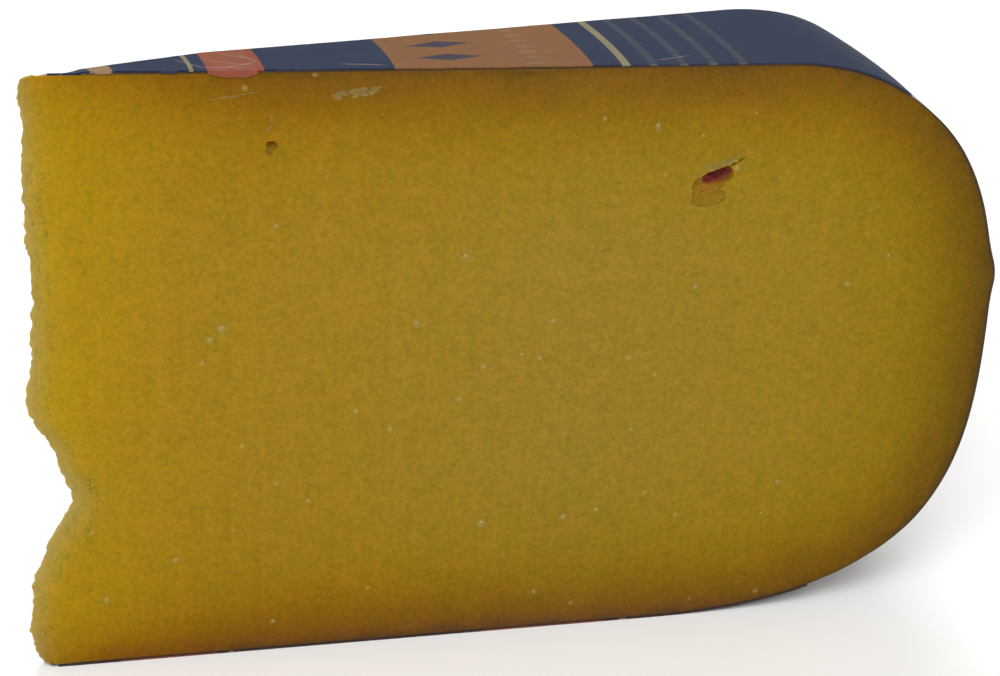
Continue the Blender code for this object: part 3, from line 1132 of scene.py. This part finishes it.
# %% Print the base label
DARK = (0.052, 0.032, 0.026)
BRICK = (0.15, 0.050, 0.028)


def base_ink(start, radius, turn):
    """The base label's rings and a row of small lozenges."""
    ink = rings(start, radius, 180, [
        (0, DARK), (25, BRICK), (42, DARK), (44, CREAM), (44.8, DARK), (90, BRICK),
        (113, DARK), (116, CREAM), (116.8, DARK),
    ])
    small = ornaments(start, radius, turn, 101, 3.0, 5.0)
    return blend(start, small * 0.8, ink, DARK)


base_paper = bpy.data.materials.new("base_paper")
label_base.data.materials.append(base_paper)
printed(base_paper, base_ink, (near_base + 0.6 * MM) / MM, 0.0)

# %% [markdown]
# # The stage
# A plain pale floor, a broad soft key light from the front left and above, a weaker fill and a
# pale surround. The camera looks slightly down on the near cut face, from the tip's side.

# %% Floor, lights and surround
bpy.ops.object.select_all(action="DESELECT")
bpy.ops.mesh.primitive_plane_add(size=6.0, location=(0, 0, 0))
floor = bpy.context.object
floor.name = "floor"
floor_paint = bpy.data.materials.new("floor_paint")
floor.data.materials.append(floor_paint)
start, shader = open_material(floor_paint)
set_finish(shader, {"Base Color": (0.86, 0.86, 0.86, 1), "Roughness": 0.75}, {})


def soft_light(name, place, size, power):
    """A square area light that looks at the middle of the cheese."""
    lamp = bpy.data.lights.new(name, "AREA")
    lamp.shape = "SQUARE"
    lamp.size = size
    lamp.energy = power
    holder = bpy.data.objects.new(name, lamp)
    bpy.context.collection.objects.link(holder)
    holder.location = place
    aim = Vector((0, 0, 0.05)) - holder.location
    holder.rotation_euler = aim.to_track_quat("-Z", "Y").to_euler()


soft_light("key", (-0.5, -0.8, 1.05), 0.8, 14)
soft_light("fill", (0.75, -0.9, 0.5), 0.8, 2)
soft_light("back", (0.2, 0.8, 1.1), 0.8, 7)
world = bpy.data.worlds.new("surround")
bpy.context.scene.world = world
world.use_nodes = True
background = world.node_tree.nodes["Background"]
background.inputs["Color"].default_value = (1.0, 1.0, 1.0, 1)
background.inputs["Strength"].default_value = 0.6
bpy.context.scene.view_settings.view_transform = "Standard"
print("floor and three soft lights")

# %% [markdown]
# The camera's place and angles are those from which the outline of the near face, the strip of
# label above it and the rounded rim line up as they do to a viewer standing at the tip's side.

# %% Camera
CAMERA_PLACE = Vector((AXIS_X, 0, 0)) + Vector((-41.1, -370.87, 245.56)) * MM
YAW, PITCH, ROLL = (math.radians(angle) for angle in (19.96, 25.84, 3.0))
camera_data = bpy.data.cameras.new("camera")
camera_data.lens = 90
camera_data.sensor_width = 36
camera = bpy.data.objects.new("camera", camera_data)
bpy.context.collection.objects.link(camera)
turned = Matrix.Rotation(-YAW, 4, "Z")
turned = turned @ Matrix.Rotation(math.pi / 2 - PITCH, 4, "X") @ Matrix.Rotation(ROLL, 4, "Z")
camera.matrix_world = Matrix.Translation(CAMERA_PLACE) @ turned
bpy.context.scene.camera = camera
print("camera at", [round(part, 3) for part in camera.location])
